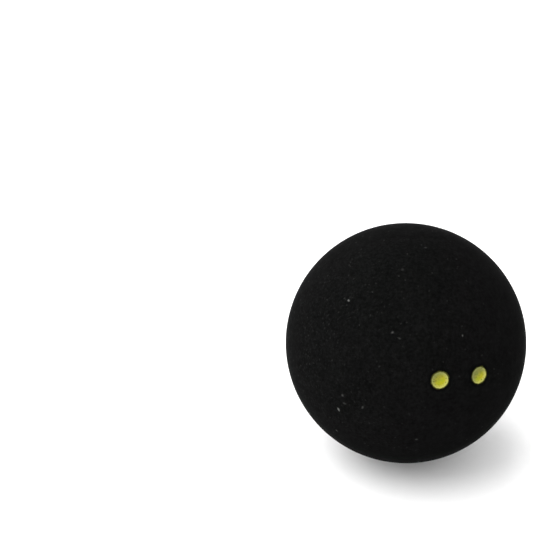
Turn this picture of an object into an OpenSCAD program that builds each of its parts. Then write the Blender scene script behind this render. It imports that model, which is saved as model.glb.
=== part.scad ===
// A squash ball: two moulded rubber half shells cemented rim to rim round a sealed hollow,
// with two yellow speed dots marked in shallow dimples on the front shell.
// Millimetres. The origin is the ball's centre and +Z points up.

/* [Ball] */
// Outside diameter of the ball
ball_d = 40; // [30:0.5:60]
// Thickness of the rubber wall
wall = 5.2; // [3:0.1:8]
// How far the moulding axis leans up from the front, in degrees
axis_lean = 32.5; // [0:0.5:90]

/* [Seam] */
// Thickness of the cement between the two rims
cement_t = 0.2; // [0.1:0.05:0.5]
// Width of the bead of cement squeezed out inside
bead_d = 1; // [0.6:0.1:2]

/* [Dots] */
// Diameter of a dot, across the mouth of its dimple
dot_d = 2.8; // [2:0.1:4]
// Distance between the centres of the two dots
dot_spacing = 7; // [4.5:0.1:9]
// Angle from the front shell's pole to the middle of the pair
pair_from_pole = 31.3; // [0:0.1:60]
// Angle of the pair round the moulding axis, from +X
pair_turn = -30.6; // [-180:0.1:180]
// Slant of the pair about its own middle
pair_slant = 35.4; // [-90:0.1:90]
// Depth of a painted dimple at its middle, below the ball's round surface
dimple_depth = 0.35; // [0.2:0.01:0.5]
// Thickness of the yellow paint in a dimple
paint_t = 0.1; // [0.05:0.01:0.2]

/* [Hidden] */
$fn = 360;

ball_r = ball_d / 2;
cavity_r = ball_r - wall;

// A cube this large covers the ball from any of its middle planes
cover = 2 * ball_d;

// A dimple is bounded by a sphere whose centre lies outside the ball
dot_r = dot_d / 2;
pocket_depth = dimple_depth + paint_t;
mouth_h = sqrt(pow(ball_r, 2) - pow(dot_r, 2));
pocket_below_mouth = pocket_depth - (ball_r - mouth_h);
pocket_r = (pow(dot_r, 2) + pow(pocket_below_mouth, 2)) / (2 * pocket_below_mouth);
pocket_centre_h = ball_r - pocket_depth + pocket_r;
dot_half_angle = asin(dot_spacing / ball_d);

// Sides of the seam and of the pair of dots
FRONT = 1;
REAR = -1;
LEFT = -1;
RIGHT = 1;

RUBBER = [0.09, 0.09, 0.09];
CEMENT = [0.2, 0.18, 0.15];
YELLOW = [0.7, 0.68, 0.25];

// Turns the moulding axis from +Z to where it points on the ball as it lies
module as_it_lies() {
    rotate([90 - axis_lean, 0, 0]) children();
}

// The rubber wall all round, as one hollow sphere
module ball_wall() {
    difference() {
        sphere(r = ball_r);
        sphere(r = cavity_r);
    }
}

// One half of the wall, cut back at its rim by half the cement
module half_wall(side) {
    intersection() {
        ball_wall();
        translate([0, 0, side * (cement_t + cover) / 2]) cube(cover, center = true);
    }
}

// Moves what lies on +Z out to a dot of the pair
module at_dot(side) {
    rotate([0, 0, pair_turn])
        rotate([0, pair_from_pole, 0])
            rotate([0, 0, pair_slant])
                rotate([0, side * dot_half_angle, 0])
                    children();
}

// The sphere that bounds a dimple, drawn in by the paint where paint lines it
module dimple_sphere(lining) {
    translate([0, 0, pocket_centre_h]) sphere(r = pocket_r - lining);
}

// The yellow paint that lines one dimple, flush with the ball at its edge
module paint_film(side) {
    at_dot(side) difference() {
        intersection() {
            sphere(r = ball_r);
            dimple_sphere(0);
        }
        dimple_sphere(paint_t);
    }
}

module half_shell_front() {
    color(RUBBER) as_it_lies() difference() {
        half_wall(FRONT);
        at_dot(LEFT) dimple_sphere(0);
        at_dot(RIGHT) dimple_sphere(0);
    }
}

module half_shell_rear() {
    color(RUBBER) as_it_lies() half_wall(REAR);
}

// The cement fills the gap between the rims and rounds over into a bead inside
module seam_cement() {
    color(CEMENT) as_it_lies() union() {
        intersection() {
            ball_wall();
            cube([cover, cover, cement_t], center = true);
        }
        intersection() {
            sphere(r = cavity_r);
            rotate_extrude() translate([cavity_r, 0]) circle(d = bead_d);
        }
    }
}

module dot_left() {
    color(YELLOW) as_it_lies() paint_film(LEFT);
}

module dot_right() {
    color(YELLOW) as_it_lies() paint_film(RIGHT);
}

half_shell_front();
half_shell_rear();
seam_cement();
dot_left();
dot_right();
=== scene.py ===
"""A squash ball as it lies in the photograph: two cemented rubber half shells and two yellow dots."""

import math
import random

import bpy
from mathutils import Euler, Matrix, Vector, noise
from mathutils.geometry import delaunay_2d_cdt


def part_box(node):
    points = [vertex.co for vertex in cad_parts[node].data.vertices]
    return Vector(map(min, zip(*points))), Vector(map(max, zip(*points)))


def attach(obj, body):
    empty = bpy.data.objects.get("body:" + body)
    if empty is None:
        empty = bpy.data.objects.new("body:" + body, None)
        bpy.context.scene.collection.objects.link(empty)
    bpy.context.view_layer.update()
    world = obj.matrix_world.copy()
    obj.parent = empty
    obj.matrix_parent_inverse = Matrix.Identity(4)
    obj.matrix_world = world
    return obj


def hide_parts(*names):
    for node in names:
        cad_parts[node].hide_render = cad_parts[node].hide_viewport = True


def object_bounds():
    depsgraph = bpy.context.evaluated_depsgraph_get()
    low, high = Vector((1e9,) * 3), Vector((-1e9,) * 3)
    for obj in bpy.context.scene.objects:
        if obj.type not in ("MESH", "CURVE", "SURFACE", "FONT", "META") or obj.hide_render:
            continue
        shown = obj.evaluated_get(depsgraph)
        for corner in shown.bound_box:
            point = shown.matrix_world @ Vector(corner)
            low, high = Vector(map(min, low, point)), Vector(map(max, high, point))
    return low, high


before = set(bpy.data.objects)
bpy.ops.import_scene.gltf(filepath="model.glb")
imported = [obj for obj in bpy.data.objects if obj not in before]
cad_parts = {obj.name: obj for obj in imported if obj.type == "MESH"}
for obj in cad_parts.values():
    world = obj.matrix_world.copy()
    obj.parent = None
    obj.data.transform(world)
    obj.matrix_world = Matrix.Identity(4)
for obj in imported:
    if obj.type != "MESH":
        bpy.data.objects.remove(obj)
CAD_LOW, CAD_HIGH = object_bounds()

MM = 0.001

# The ball, from the frame and from the sizes that it was built to
BALL_R = (CAD_HIGH.x - CAD_LOW.x) / 2
WALL = 5.2 * MM
CAVITY_R = BALL_R - WALL
CEMENT_T = 0.2 * MM
BEAD_R = 0.5 * MM

# Each half shell is made round +Z, and then turned to where it lies
POLE = Vector((0, 0, 1))
AXIS_LEAN = math.radians(32.5)
AS_IT_LIES = Matrix.Rotation(math.radians(90) - AXIS_LEAN, 3, "X")
FRONT_SIDE = Matrix.Identity(3)
REAR_SIDE = Matrix.Rotation(math.pi, 3, "X")

# The buffed grain, layer by layer: how wide its hollows are and how deep
GRAIN = [(2.6 * MM, 0.010 * MM), (0.9 * MM, 0.008 * MM), (0.4 * MM, 0.007 * MM)]

# The seam: a slight groove in the rubber, and the cement with its worn corners just below it
SEAM_DROP = 0.05 * MM
SEAM_W = 0.4 * MM
CEMENT_DROP = 0.02 * MM
CORNER_DROP = 0.02 * MM
FLAT_SHARE = 0.4
BEAD_ANGLES = [math.radians(a) for a in range(92, 269, 16)]

# The dots: a film of paint in a dimple with a rounded lip
DOTS = ["dot_left", "dot_right"]
DOT_R = 1.4 * MM
DISH_DEPTH = 0.35 * MM
DISH_POWER = 2.2
FILM_T = 0.05 * MM
FILM_POWER = 6
EDGE_T = 0.004 * MM
LIP_DROP = 0.028 * MM
LIP_W = 0.22 * MM
GRAIN_ENDS = DOT_R - 0.1 * MM

# Waves and ragged pinholes in the paint
WAVE_SIZE = 0.35 * MM
WAVE_DEPTH = 0.006 * MM
PINHOLES = 14
PINHOLE_REACH = 0.9 * DOT_R
PINHOLE_R_MM = (0.06, 0.15)
PINHOLE_DEPTH = 0.03 * MM
PINHOLE_RAGGED = 0.6
PINHOLE_RAGGED_SIZE = 0.09 * MM

# Painted shade on the paint, darker towards its upper left: from where and over what width, in dot
# radii, and at most how much, the last two for each dot
DOT_PAINTED_SHADE_SIDE = Vector((-0.55, 0, 0.83))
DOT_PAINTED_SHADE_START = -0.7
DOT_PAINTED_SHADE_WIDTH = [1.6, 1.2]
DOT_PAINTED_SHADE_MOST = [0.66, 0.74]

# How finely the rubber is meshed: its steps, and how far its rings lie inward from the rim
SKIN_STEP = 0.2 * MM
HOLLOW_STEP = 0.8 * MM
RIM_STEPS = 720
RIM_RINGS = [0.05 * MM, 0.11 * MM, 0.19 * MM, 0.3 * MM]

# The rings round a dot, by radius and count of points: under the paint, at its edge and outside it
PAINT_RINGS = 44
DOT_STEPS = 176
DOT_RINGS = [(k * DOT_R, 48) for k in (0.2, 0.4, 0.6, 0.8, 0.9, 0.96)]
DOT_RINGS += [(DOT_R + k * MM, DOT_STEPS) for k in (0, 0.03, 0.07)]
DOT_RINGS += [(DOT_R + k * MM, DOT_STEPS // 2) for k in (0.12, 0.18, 0.26, 0.36, 0.5)]

# Pale flecks in the rubber: the plainest by their pixel in the photograph, radius in millimetres
# and strength
PLAIN_FLECKS = [
    (348, 300, 0.19, 0.145),
    (338, 409, 0.235, 0.145),
    (462, 335, 0.15, 0.08),
    (392, 332, 0.20, 0.062),
    (342, 395, 0.22, 0.042),
    (362, 407, 0.22, 0.042),
    (399, 338, 0.19, 0.029),
    (344, 403, 0.24, 0.031),
    (336, 430, 0.20, 0.065),
    (416, 439, 0.23, 0.036),
    (402, 269, 0.22, 0.019),
    (425, 247, 0.20, 0.03),
]
PIXEL_MIDDLE = 0.5

# A plain fleck's own rings, by share of its radius and count of points, and its ragged oval shape
FLECK_RINGS = [(0.5, 7), (1, 10), (1.5, 13), (2, 16)]
FLECK_REACH = 2
FLECK_STRETCH = (1.0, 1.35)
FLECK_RAGGED = 0.5
FLECK_RAGGED_SIZE = 0.12 * MM
FLECK_FADE = (0.4, 1.4)

# The other flecks, more of them to the left as painted light: the share of the skin's points at the
# ball's middle and how much of it is left at the far right, and the faintest and the brightest
FLECK_SHARE = 0.0056
RIGHT_SHARE = 0.25
FAINT_FLECK = 0.0082
BRIGHT_FLECK = 0.03
FRONT_SEED = 5
REAR_SEED = 6

# Colours of the rubber: its darkest, its lightest, its dust with painted light, the painted shade on
# the lip round a dot, the paint smeared on that lip and the flecks
RUBBER_DARK = (0, 0, 0)
RUBBER_LIGHT = (0.0053, 0.0055, 0.0054)
RUBBER_DUST_AND_LIGHT = (0.0081, 0.0084, 0.0082)
RUBBER_LIP_PAINTED_SHADE = (0.0013, 0.0014, 0.0013)
RUBBER_SMEAR = (0.06, 0.06, 0.012)
RUBBER_FLECK = (0.5, 0.5, 0.48)

# Colours of the cement
CEMENT_DARK = (0.003, 0.003, 0.0029)
CEMENT_LIGHT = (0.0075, 0.0072, 0.0066)

# Colours of the paint: two yellows, and what it turns to where it is specked, in its painted
# highlight at its edge, worn, in painted shade, holed and at its ragged end
PAINT_COOL = (0.260, 0.292, 0.005)
PAINT_WARM = (0.325, 0.285, 0.005)
PAINT_SPECK = (0.17, 0.17, 0.015)
PAINT_EDGE_HIGHLIGHT = (0.375, 0.37, 0.108)
PAINT_WORN = (0.10, 0.10, 0.02)
PAINT_PAINTED_SHADE = (0.08, 0.092, 0.036)
PAINT_PIT = (0.07, 0.06, 0.01)
PAINT_END = (0.004, 0.004, 0.004)

# Colours of the floor
PAPER_DARK = (0.90, 0.90, 0.90)
PAPER_LIGHT = (0.93, 0.93, 0.93)

# Where most of a noise's values lie, whatever its size
NOISE_SPAN = (0.3, 0.7)

# How wide each noise's patches are, in millimetres. In the rubber: its unevenness in four sizes, its
# dust, the ragged end of the paint smeared on it, and its bumps in two sizes
CLOUD_MM = 5
PATCH_MM = 1.1
SPECKLE_MM = 0.48
FINE_MM = 0.08
DUST_MM = 0.35
SMEAR_MM = 0.7
BUMP_MM = 0.3
FINE_BUMP_MM = 0.09

# In the cement, in the paint, where they blotch, speck and wear it and make its end ragged, and in
# the floor
CEMENT_WAVE_MM = 0.6
BLOTCH_MM = 0.55
SPECK_MM = 0.12
WORN_MM = 0.28
END_MM = 0.45
TOOTH_MM = 1.5

# How high the bumps are in the rubber, in the cement and in the paint
BUMP_HEIGHT = 0.02 * MM
FINE_BUMP_HEIGHT = 0.004 * MM
CEMENT_BUMP_HEIGHT = 0.02 * MM
PAINT_BUMP_HEIGHT = 0.01 * MM

# Where painted shade dims the rubber, to the lower right, and where its dust and painted light thin
# out, to the right: each a direction, and a span in millimetres along it
RUBBER_PAINTED_SHADE_SIDE = (0.75, -0.35, -0.56)
RUBBER_PAINTED_SHADE_SPAN_MM = (0, 14)
RIGHT_SIDE = (1, 0, 0)
DUST_AND_LIGHT_SPAN_MM = (-18, 4)

# Outwards from a dot, in millimetres: where the painted shade on its lip ends, where the smeared
# paint fades, and how far that fading wanders
LIP_PAINTED_SHADE_SPAN_MM = (0.3, 0.7)
SMEAR_SPAN_MM = (0, 0.26)
SMEAR_WANDER_MM = (-0.08, 0.08)

# From a dot's middle, in dot radii: where a painted highlight turns the paint pale, where it ends,
# and how far that end wanders
HIGHLIGHT_SPAN = (0.58, 0.96)
END_SPAN = (0.925, 1.01)
END_WANDER = (-0.03, 0.03)

# The photograph's camera: the image is 533 pixels square, and the ball lies to its lower right
IMAGE_PX = 533
SENSOR_MM = 36
LENS_MM = 150
CAMERA_PITCH = math.radians(30.6)
CAMERA_TURN = math.radians(4.3)
BALL_PX = (405.6, 342.85)
BALL_R_PX = 119.95

# The studio: the radii of the floor's flat rings, its bend, the white all round and one soft box
FLOOR_FLAT = [0.1, 0.4, 0.9]
FLOOR_BEND = 0.6
FLOOR_BEND_ANGLES = [math.radians(a) for a in range(10, 91, 10)]
FLOOR_STEPS = 96
WORLD_STRENGTH = 1.15
KEY_AT = (-0.62, 0.08, 0.92)
KEY_SIZE = 1.9
KEY_POWER = 26.0


def smooth(edge_0, edge_1, x):
    """0 below edge_0, 1 above edge_1, and a smooth step between them."""
    t = min(max((x - edge_0) / (edge_1 - edge_0), 0), 1)
    return t * t * (3 - 2 * t)


# The camera
FOCAL_PX = IMAGE_PX * LENS_MM / SENSOR_MM
CAMERA_TURNED = Euler((math.radians(90) - CAMERA_PITCH, 0, CAMERA_TURN)).to_matrix()


def pixel_ray(x, y):
    """The direction, from the camera, of a point of the photograph."""
    half = IMAGE_PX / 2
    return CAMERA_TURNED @ Vector(((x - half) / FOCAL_PX, (half - y) / FOCAL_PX, -1))


CAMERA_AT = -pixel_ray(*BALL_PX).normalized() * BALL_R / math.sin(math.atan(BALL_R_PX / FOCAL_PX))


def on_ball(x, y):
    """The direction, from the ball's centre, of the point of its skin that a pixel shows."""
    ray = pixel_ray(x, y).normalized()
    along = CAMERA_AT.dot(ray)
    reach = along * along - CAMERA_AT.length_squared + BALL_R * BALL_R
    return (CAMERA_AT - (along + math.sqrt(reach)) * ray).normalized()


def make_camera():
    data = bpy.data.cameras.new("camera")
    data.lens, data.sensor_width = LENS_MM, SENSOR_MM
    camera = bpy.data.objects.new("camera", data)
    bpy.context.collection.objects.link(camera)
    camera.location = CAMERA_AT
    camera.rotation_euler = CAMERA_TURNED.to_euler()
    bpy.context.scene.camera = camera


# Meshes
def make_mesh(name, points, faces, material):
    mesh = bpy.data.meshes.new(name)
    mesh.from_pydata([tuple(p) for p in points], [], faces)
    mesh.validate()
    mesh.shade_smooth()
    mesh.materials.append(material)
    made = bpy.data.objects.new(name, mesh)
    bpy.context.collection.objects.link(made)
    return made


def set_values(made, name, values):
    """Gives each point of a mesh a value that its material reads by name."""
    made.data.attributes.new(name, "FLOAT", "POINT").data.foreach_set("value", values)


def across(axis):
    """Two directions square to axis and to each other."""
    u = axis.orthogonal().normalized()
    return u, axis.cross(u)


def ring(axis, angle, count, phase=0.0):
    """Directions at one angle from an axis."""
    u, v = across(axis)
    turns = [2 * math.pi * (i + phase) / count for i in range(count)]
    return [
        axis * math.cos(angle) + (u * math.cos(t) + v * math.sin(t)) * math.sin(angle) for t in turns
    ]


def rings(axis, sizes, phase):
    """Rings of directions by angle and count, each turned half a step against the one before."""
    found = []
    for angle, count in sizes:
        found += ring(axis, angle, count, phase)
        phase = 0.5 - phase
    return found


def spiral(step, radius, lowest):
    """Directions spread evenly over a cap round +Z, about a step apart on a ball of that radius."""
    count = int(2 * math.pi * (1 - lowest) * (radius / step) ** 2)
    turn = math.pi * (3 - math.sqrt(5))
    found = []
    for i in range(count):
        z = 1 - (1 - lowest) * (i + 0.5) / count
        r = math.sqrt(1 - z * z)
        found.append(Vector((r * math.cos(i * turn), r * math.sin(i * turn), z)))
    return found


def cap(directions):
    """Joins directions into triangles over a cap round +Z.

    They are joined on a flat map that keeps small circles round, and put back on the cap.
    """
    flat = [Vector((d.x, d.y)) / (1 + d.z) for d in directions]
    triangles, same_point = 0, 1e-7
    points, _, faces, *_ = delaunay_2d_cdt(flat, [], [], triangles, same_point)
    spread = []
    for p in points:
        s = 1 + p.length_squared
        spread.append(Vector((2 * p.x, 2 * p.y, 2 - s)) / s)
    return spread, [tuple(f) for f in faces]


# The rubber shells
def grain(d):
    """How far the buffed skin lies below the round surface in a direction."""
    at = d * BALL_R
    return sum(deep * (0.5 + 0.5 * noise.noise(at / size)) for size, deep in GRAIN)


def paint_top(r):
    """Depth of the paint's surface below the ball's, at a distance from the dot's middle."""
    return LIP_DROP - 2 * EDGE_T + DISH_DEPTH * (1 - (r / DOT_R) ** DISH_POWER)


def paint_under(r):
    """Depth of the paint's underside, where the film thins out to its edge."""
    return paint_top(r) + EDGE_T + FILM_T * (1 - (r / DOT_R) ** FILM_POWER)


def dimple(r):
    """Depth of the rubber below the ball's round surface, at a distance from a dot's middle."""
    if r < DOT_R:
        return paint_under(r) + EDGE_T
    return LIP_DROP * (1 - smooth(DOT_R, DOT_R + LIP_W, r))


def skin_drop(lies, from_rim, from_middles):
    """Depth of the rubber below the ball's round surface, with its grain, seam and dimples."""
    drop = grain(lies) + SEAM_DROP * (1 - smooth(0, SEAM_W, from_rim))
    for r in from_middles:
        if r < DOT_R + LIP_W:
            drop = drop * smooth(GRAIN_ENDS, DOT_R + LIP_W, r) + dimple(r)
    return drop


def skin_directions(rim, dots, spots):
    """Directions over a half shell's skin, closer together at its rim, dots and plain flecks."""
    found = ring(POLE, rim, RIM_STEPS)
    found += rings(POLE, [(rim - inward / BALL_R, RIM_STEPS) for inward in RIM_RINGS], 0.5)

    lowest = math.cos(rim - (RIM_RINGS[-1] + SKIN_STEP / 2) / BALL_R)
    patch = DOT_RINGS[-1][0] / BALL_R
    islands = [(c, math.cos(patch + SKIN_STEP / 2 / BALL_R)) for c in dots]
    islands += [(c, math.cos((FLECK_REACH * r + SKIN_STEP / 2) / BALL_R)) for c, r, _ in spots]
    for d in spiral(SKIN_STEP, BALL_R, lowest):
        if all(d.dot(c) < near for c, near in islands):
            found.append(d)

    for c, r, _ in spots:
        found.append(c)
        found += rings(c, [(share * r / BALL_R, count) for share, count in FLECK_RINGS], 0.5)
    for c in dots:
        found.append(c)
        found += rings(c, [(r / BALL_R, count) for r, count in DOT_RINGS], 0)
    return found


def fleck_values(skin, points, spots, seed):
    """How pale the rubber is at each point of the skin: small flecks, then the plain ones."""
    rng = random.Random(seed)
    values = [0.0] * len(skin)
    for i in range(len(skin)):
        # Painted light: pale flecks grow likelier towards the left, where the light falls
        leftward = 1 - points[i].x / BALL_R
        likely = FLECK_SHARE * (RIGHT_SHARE + (1 - RIGHT_SHARE) * leftward ** 2)
        if rng.random() < likely:
            values[i] = min(FAINT_FLECK / math.sqrt(rng.random()), BRIGHT_FLECK)

    for c, r, strength in spots:
        u, v = across(c)
        turn = rng.uniform(0, math.pi)
        stretch = rng.uniform(*FLECK_STRETCH)
        for i, d in enumerate(skin):
            if (d - c).length * BALL_R < FLECK_REACH * r:
                a = (d - c).dot(u) * BALL_R / r
                b = (d - c).dot(v) * BALL_R / r
                along = a * math.cos(turn) + b * math.sin(turn)
                over = b * math.cos(turn) - a * math.sin(turn)
                far = math.hypot(along / stretch, over * stretch)
                ragged = 1 + FLECK_RAGGED * noise.noise(d * BALL_R / FLECK_RAGGED_SIZE)
                values[i] = strength * (1 - smooth(*FLECK_FADE, far * ragged))
    return values


def shell(name, side, dots, spots, seed, material):
    """A closed half shell, whose own pole is turned from +Z to where it lies."""
    turned = AS_IT_LIES @ side
    back = turned.transposed()
    dots = [back @ d for d in dots]
    spots = [(back @ d, r, strength) for d, r, strength in spots]

    rim = math.acos(CEMENT_T / 2 / BALL_R)
    skin, skin_faces = cap(skin_directions(rim, dots, spots))
    points, from_dots = [], []
    for d in skin:
        lies = turned @ d
        from_rim = BALL_R * (rim - math.acos(min(d.z, 1)))
        from_middles = [BALL_R * math.acos(min(d.dot(c), 1)) for c in dots]
        points.append(lies * (BALL_R - skin_drop(lies, from_rim, from_middles)))
        from_dots.append(min([1.0] + [max(r - DOT_R, 0) / MM for r in from_middles]))

    hollow_rim = math.acos(CEMENT_T / 2 / CAVITY_R)
    hollow = ring(POLE, hollow_rim, RIM_STEPS)
    hollow += spiral(HOLLOW_STEP, CAVITY_R, math.cos(hollow_rim - HOLLOW_STEP / CAVITY_R))
    hollow, hollow_faces = cap(hollow)
    first = len(points)
    points += [turned @ d * CAVITY_R for d in hollow]

    faces = skin_faces + [tuple(first + i for i in reversed(f)) for f in hollow_faces]
    for i in range(RIM_STEPS):
        j = (i + 1) % RIM_STEPS
        faces.append((i, first + i, first + j, j))
    made = make_mesh(name, points, faces, material)

    # How pale each point is, and how far outside a dot it lies: in millimetres, and at most 1
    set_values(made, "fleck", fleck_values(skin, points, spots, seed) + [0.0] * len(hollow))
    set_values(made, "from_dot", from_dots + [1.0] * len(hollow))
    return made


def cement(name, material):
    """The ring of cement between the rims, with its squeezed-out bead inside."""
    half = CEMENT_T / 2
    top = BALL_R - SEAM_DROP - CEMENT_DROP
    corner = top - CORNER_DROP
    profile = [(CAVITY_R, -half), (corner, -half), (top, -FLAT_SHARE * half)]
    profile += [(top, FLAT_SHARE * half), (corner, half), (CAVITY_R, half)]
    profile += [(CAVITY_R + BEAD_R * math.cos(a), BEAD_R * math.sin(a)) for a in BEAD_ANGLES]
    points, faces = [], []
    for i in range(RIM_STEPS):
        t = 2 * math.pi * i / RIM_STEPS
        points += [AS_IT_LIES @ Vector((r * math.cos(t), r * math.sin(t), z)) for r, z in profile]
    n = len(profile)
    for i in range(RIM_STEPS):
        a, b = i * n, (i + 1) % RIM_STEPS * n
        faces += [(a + k, b + k, b + (k + 1) % n, a + (k + 1) % n) for k in range(n)]
    return make_mesh(name, points, faces, material)


# The dots' paint
def paint_faces():
    """Joins the paint's points: its top, its underside, and the edge between them."""
    faces = []
    side_points = 1 + PAINT_RINGS * DOT_STEPS
    for under in (0, 1):
        c = under * side_points
        for i in range(DOT_STEPS):
            j = (i + 1) % DOT_STEPS
            found = [(c, c + 1 + i, c + 1 + j)]
            for k in range(PAINT_RINGS - 1):
                a = c + 1 + k * DOT_STEPS
                b = a + DOT_STEPS
                found.append((a + i, b + i, b + j, a + j))
            faces += [tuple(reversed(f)) for f in found] if under else found
    last = side_points - DOT_STEPS
    for i in range(DOT_STEPS):
        j = (i + 1) % DOT_STEPS
        faces.append((last + i, side_points + last + i, side_points + last + j, last + j))
    return faces


def paint(name, axis, number, material):
    """One dot's paint: a shallow dish with a few pinholes, closed underneath.

    The dot's number picks the width and strength of its painted shade, and seeds its pinholes and
    waves.
    """
    rng = random.Random(number)
    u, v = across(axis)
    holes = []
    for _ in range(PINHOLES):
        r, t = PINHOLE_REACH * math.sqrt(rng.random()), 2 * math.pi * rng.random()
        holes.append((r * math.cos(t), r * math.sin(t), rng.uniform(*PINHOLE_R_MM) * MM))
    points, pits, edges, painted_shades = [], [], [], []

    def pit_at(x, y):
        """1 in the middle of a pinhole, and 0 outside all of them."""
        wave = noise.noise(Vector((x, y, number * MM)) / PINHOLE_RAGGED_SIZE)
        ragged = 1 + PINHOLE_RAGGED * wave
        return max([0.0] + [1 - ragged * math.hypot(x - hx, y - hy) / hr for hx, hy, hr in holes])

    def painted_shade_at(x, y):
        """How much painted shade darkens the paint, from nothing to the most for this dot."""
        towards = (u * x + v * y).dot(DOT_PAINTED_SHADE_SIDE) / DOT_R
        return DOT_PAINTED_SHADE_MOST[number] * smooth(DOT_PAINTED_SHADE_START, DOT_PAINTED_SHADE_START + DOT_PAINTED_SHADE_WIDTH[number], towards)

    def add(x, y, drop, pit, edge):
        points.append((axis * BALL_R + u * x + v * y).normalized() * (BALL_R - drop))
        pits.append(pit)
        edges.append(edge)
        painted_shades.append(painted_shade_at(x, y))

    for under in (False, True):
        add(0, 0, paint_under(0) if under else paint_top(0), 0.0, 0.0)
        for k in range(1, PAINT_RINGS + 1):
            r = DOT_R * k / PAINT_RINGS
            for i in range(DOT_STEPS):
                t = 2 * math.pi * i / DOT_STEPS
                x, y = r * math.cos(t), r * math.sin(t)
                if under:
                    add(x, y, paint_under(r), 0.0, k / PAINT_RINGS)
                    continue
                wave = noise.noise(Vector((x, y, number * MM)) / WAVE_SIZE)
                drop = paint_top(r) + WAVE_DEPTH * wave * (1 - k / PAINT_RINGS)
                pit = pit_at(x, y)
                add(x, y, drop + PINHOLE_DEPTH * pit, pit, k / PAINT_RINGS)

    made = make_mesh(name, points, paint_faces(), material)
    set_values(made, "pit", pits)
    set_values(made, "edge", edges)
    set_values(made, "painted_shade", painted_shades)
    return made


# Materials
class Nodes:
    """A material's node tree, with a short way to add and join nodes."""

    # Where a Mix node's colour sockets are: its number sockets have the same names
    MIX_FROM, MIX_TO, MIX_OUT = 6, 7, 2

    def __init__(self, name):
        self.material = bpy.data.materials.new(name)
        self.material.use_nodes = True
        self.tree = self.material.node_tree
        self.shader = self.tree.nodes["Principled BSDF"]

    def feed(self, socket, value):
        """Gives a socket a value, or another node's output."""
        if isinstance(value, bpy.types.NodeSocket):
            self.tree.links.new(value, socket)
        else:
            socket.default_value = value

    def add(self, kind, values=None, **settings):
        node = self.tree.nodes.new("ShaderNode" + kind)
        for key, value in settings.items():
            setattr(node, key, value)
        for key, value in (values or {}).items():
            self.feed(node.inputs[key], value)
        return node

    def place_mm(self):
        """The place on the object, in millimetres."""
        where = self.add("TexCoord").outputs["Object"]
        scale = self.add("VectorMath", {0: where, "Scale": 1 / MM}, operation="SCALE")
        return scale.outputs["Vector"]

    def noise(self, place, size_mm, detail=2.0, roughness=0.5):
        values = {"Vector": place, "Scale": 1 / size_mm, "Detail": detail, "Roughness": roughness}
        return self.add("TexNoise", values).outputs["Fac"]

    def ramp(self, factor, span, results=(0, 1)):
        """Goes from one result to the other while the factor crosses the span."""
        values = {"Value": factor, "From Min": span[0], "From Max": span[1]}
        values.update({"To Min": results[0], "To Max": results[1]})
        return self.add("MapRange", values).outputs["Result"]

    def mix(self, factor, a, b):
        """Colour a where the factor is 0, and colour b where it is 1."""
        node = self.add("Mix", {"Factor": factor}, data_type="RGBA")
        for socket, colour in ((self.MIX_FROM, a), (self.MIX_TO, b)):
            self.feed(node.inputs[socket], (*colour, 1) if isinstance(colour, tuple) else colour)
        return node.outputs[self.MIX_OUT]

    def times(self, a, b):
        return self.add("Math", {0: a, 1: b}, operation="MULTIPLY").outputs["Value"]

    def plus(self, a, b):
        return self.add("Math", {0: a, 1: b}, operation="ADD").outputs["Value"]

    def along(self, place, axis):
        """How far a place lies along an axis."""
        return self.add("VectorMath", {0: place, 1: axis}, operation="DOT_PRODUCT").outputs["Value"]

    def attribute(self, name):
        return self.add("Attribute", attribute_name=name).outputs["Fac"]

    def bump(self, height, distance, below=None):
        values = {"Height": height, "Distance": distance, "Strength": 1.0}
        if below:
            values["Normal"] = below
        return self.add("Bump", values).outputs["Normal"]

    def set(self, **values):
        for key, value in values.items():
            self.feed(self.shader.inputs[key.replace("_", " ")], value)
        return self.material


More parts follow.
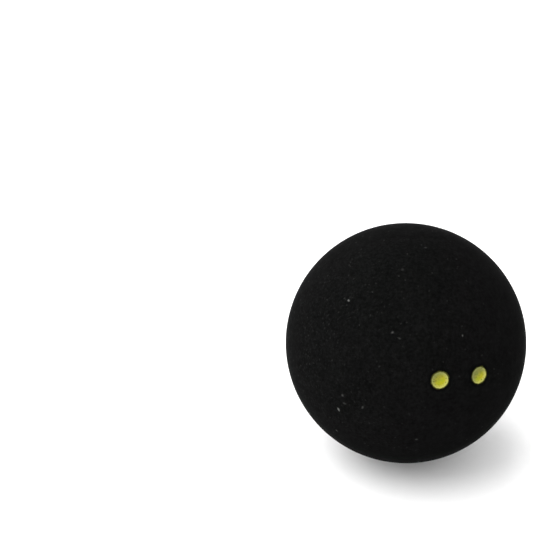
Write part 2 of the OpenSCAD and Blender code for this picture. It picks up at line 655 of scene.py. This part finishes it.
def rubber():
    m = Nodes("rubber")
    place = m.place_mm()

    # Buffed black, uneven at four sizes, and a little dimmer to the lower right with painted shade
    speckle = m.noise(place, SPECKLE_MM, roughness=0.6)
    patches = m.noise(place, PATCH_MM, detail=3, roughness=0.6)
    clouds = m.noise(place, CLOUD_MM, detail=3)
    fine = m.noise(place, FINE_MM, roughness=0.7)
    unevenness_and_painted_shade = m.ramp(speckle, (0.34, 0.66), (0.5, 1))
    unevenness_and_painted_shade = m.times(unevenness_and_painted_shade, m.ramp(patches, NOISE_SPAN, (0.68, 1)))
    unevenness_and_painted_shade = m.times(unevenness_and_painted_shade, m.ramp(clouds, (0.35, 0.65), (0.85, 1)))
    unevenness_and_painted_shade = m.times(unevenness_and_painted_shade, m.ramp(fine, NOISE_SPAN, (0.8, 1.2)))
    # Painted shade: the rubber darkens towards the lower right
    unevenness_and_painted_shade = m.times(unevenness_and_painted_shade, m.ramp(m.along(place, RUBBER_PAINTED_SHADE_SIDE), RUBBER_PAINTED_SHADE_SPAN_MM, (1, 0.88)))
    tone = m.mix(unevenness_and_painted_shade, RUBBER_DARK, RUBBER_LIGHT)

    # Dust, mostly on the left as painted light from that side
    dust_and_painted_light = m.ramp(m.noise(place, DUST_MM), (0.56, 0.75))
    dust_and_painted_light = m.times(dust_and_painted_light, m.ramp(m.along(place, RIGHT_SIDE), DUST_AND_LIGHT_SPAN_MM, (1, 0)))
    tone = m.mix(dust_and_painted_light, tone, RUBBER_DUST_AND_LIGHT)

    # Round each dot, painted shade on the lip and a trace of paint with a ragged end
    from_dot = m.attribute("from_dot")
    tone = m.mix(m.ramp(from_dot, LIP_PAINTED_SHADE_SPAN_MM, (1, 0)), tone, RUBBER_LIP_PAINTED_SHADE)
    ragged = m.ramp(m.noise(place, SMEAR_MM), NOISE_SPAN, SMEAR_WANDER_MM)
    smear = m.ramp(m.plus(from_dot, ragged), SMEAR_SPAN_MM, (1, 0))
    tone = m.mix(m.times(smear, smear), tone, RUBBER_SMEAR)

    tone = m.mix(m.attribute("fleck"), tone, RUBBER_FLECK)
    bumps = m.bump(m.noise(place, BUMP_MM, roughness=0.6), BUMP_HEIGHT)
    bumps = m.bump(m.noise(place, FINE_BUMP_MM, detail=1), FINE_BUMP_HEIGHT, bumps)
    return m.set(
        Base_Color=tone,
        Roughness=m.ramp(speckle, NOISE_SPAN, (0.85, 1.0)),
        Specular_IOR_Level=0.005,
        Sheen_Weight=0.032,
        Sheen_Roughness=0.18,
        Normal=bumps,
    )


def rim_cement():
    m = Nodes("rim_cement")
    wave = m.noise(m.place_mm(), CEMENT_WAVE_MM, detail=3)
    return m.set(
        Base_Color=m.mix(m.ramp(wave, NOISE_SPAN), CEMENT_DARK, CEMENT_LIGHT),
        Roughness=m.ramp(wave, NOISE_SPAN, (0.7, 0.85)),
        Specular_IOR_Level=0.03,
        Normal=m.bump(wave, CEMENT_BUMP_HEIGHT),
    )


def dot_paint():
    m = Nodes("dot_paint")
    place = m.place_mm()
    blotch = m.noise(place, BLOTCH_MM, detail=3, roughness=0.6)
    speck = m.noise(place, SPECK_MM)
    worn = m.noise(place, WORN_MM, detail=3, roughness=0.6)
    edge = m.attribute("edge")
    tone = m.mix(m.ramp(blotch, (0.4, 0.6)), PAINT_COOL, PAINT_WARM)
    tone = m.mix(m.ramp(speck, (0.45, 0.7), (0, 0.3)), tone, PAINT_SPECK)
    # Painted highlight: a pale ring towards the paint's edge
    tone = m.mix(m.ramp(edge, HIGHLIGHT_SPAN, (0, 0.8)), tone, PAINT_EDGE_HIGHLIGHT)
    tone = m.mix(m.ramp(worn, (0.52, 0.74), (0, 0.7)), tone, PAINT_WORN)
    # Painted shade: the paint darkens towards its upper left
    tone = m.mix(m.attribute("painted_shade"), tone, PAINT_PAINTED_SHADE)
    tone = m.mix(m.attribute("pit"), tone, PAINT_PIT)
    ragged = m.ramp(m.noise(place, END_MM, detail=3, roughness=0.6), NOISE_SPAN, END_WANDER)
    tone = m.mix(m.ramp(m.plus(edge, ragged), END_SPAN), tone, PAINT_END)
    return m.set(
        Base_Color=tone,
        Roughness=m.ramp(speck, NOISE_SPAN, (0.5, 0.65)),
        Specular_IOR_Level=0.08,
        Normal=m.bump(speck, PAINT_BUMP_HEIGHT),
    )


def floor_paper():
    m = Nodes("floor_paper")
    tooth = m.noise(m.place_mm(), TOOTH_MM, detail=3)
    tone = m.mix(tooth, PAPER_DARK, PAPER_LIGHT)
    return m.set(Base_Color=tone, Roughness=0.9, Specular_IOR_Level=0.2)


# The studio
def make_floor():
    """A pale floor that curves up all round, far outside the camera's view."""
    profile = [(r, 0.0) for r in FLOOR_FLAT]
    for a in FLOOR_BEND_ANGLES:
        profile.append((FLOOR_FLAT[-1] + FLOOR_BEND * math.sin(a), FLOOR_BEND * (1 - math.cos(a))))
    points, faces = [], []
    for r, z in profile:
        for i in range(FLOOR_STEPS):
            t = 2 * math.pi * i / FLOOR_STEPS
            points.append((r * math.cos(t), r * math.sin(t), z - BALL_R))
    points.append((0, 0, -BALL_R))
    for i in range(FLOOR_STEPS):
        j = (i + 1) % FLOOR_STEPS
        faces.append((len(points) - 1, i, j))
        for k in range(len(profile) - 1):
            a, b = k * FLOOR_STEPS, (k + 1) * FLOOR_STEPS
            faces.append((a + i, b + i, b + j, a + j))
    make_mesh("floor", points, faces, floor_paper())


def make_light(name, place, size, power):
    """A square soft box that faces the ball."""
    data = bpy.data.lights.new(name, "AREA")
    data.size, data.energy = size, power
    light = bpy.data.objects.new(name, data)
    bpy.context.collection.objects.link(light)
    light.location = place
    light.rotation_euler = (-Vector(place)).to_track_quat("-Z", "Y").to_euler()


def make_studio():
    make_floor()
    world = bpy.data.worlds.new("studio")
    world.use_nodes = True
    background = world.node_tree.nodes["Background"]
    background.inputs["Color"].default_value = (1, 1, 1, 1)
    background.inputs["Strength"].default_value = WORLD_STRENGTH
    bpy.context.scene.world = world
    make_light("key", KEY_AT, KEY_SIZE, KEY_POWER)
    bpy.context.scene.view_settings.view_transform = "Standard"


def place_piece(piece, node):
    """Puts a piece on the ball's one body, in place of its CAD node."""
    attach(piece, "root")
    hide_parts(node)


make_camera()
make_studio()
skin = rubber()
middles = [sum(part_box(name), Vector()) / 2 for name in DOTS]
dots = [middle.normalized() for middle in middles]
spots = []
for x, y, r, strength in PLAIN_FLECKS:
    spots.append((on_ball(x + PIXEL_MIDDLE, y + PIXEL_MIDDLE), r * MM, strength))
front = shell("rubber_shell_front", FRONT_SIDE, dots, spots, FRONT_SEED, skin)
rear = shell("rubber_shell_rear", REAR_SIDE, [], [], REAR_SEED, skin)
place_piece(front, "half_shell_front")
place_piece(rear, "half_shell_rear")
place_piece(cement("cement_ring", rim_cement()), "seam_cement")
yellow = dot_paint()
for number, (node, axis) in enumerate(zip(DOTS, dots)):
    place_piece(paint("yellow_" + node, axis, number, yellow), node)
